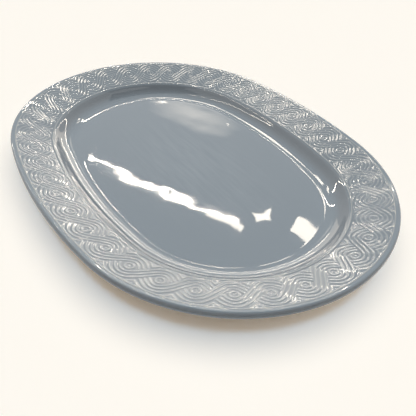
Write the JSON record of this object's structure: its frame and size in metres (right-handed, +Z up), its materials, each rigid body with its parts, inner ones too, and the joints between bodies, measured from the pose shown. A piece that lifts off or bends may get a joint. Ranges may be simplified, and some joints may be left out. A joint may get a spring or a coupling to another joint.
{
  "type": "oval serving platter",
  "caption": "Oval stoneware serving platter with a broad sloping rim, a shallow dished well and a low bare foot ring, covered in glossy blue-grey glaze.",
  "frame": {"origin": "on the table, under the middle of the platter", "axes": "+X along the long axis, +Y along the short axis, +Z up out of the well"},
  "size_m": [0.356, 0.267, 0.031],
  "materials": {
    "clay": "matte, fired and unglazed",
    "glaze": "gloss"
  },
  "bodies": {
    "root": {"clay_body": "clay", "glaze_coat": "glaze", "recess_glaze": "glaze"}
  },
  "joints": []
}
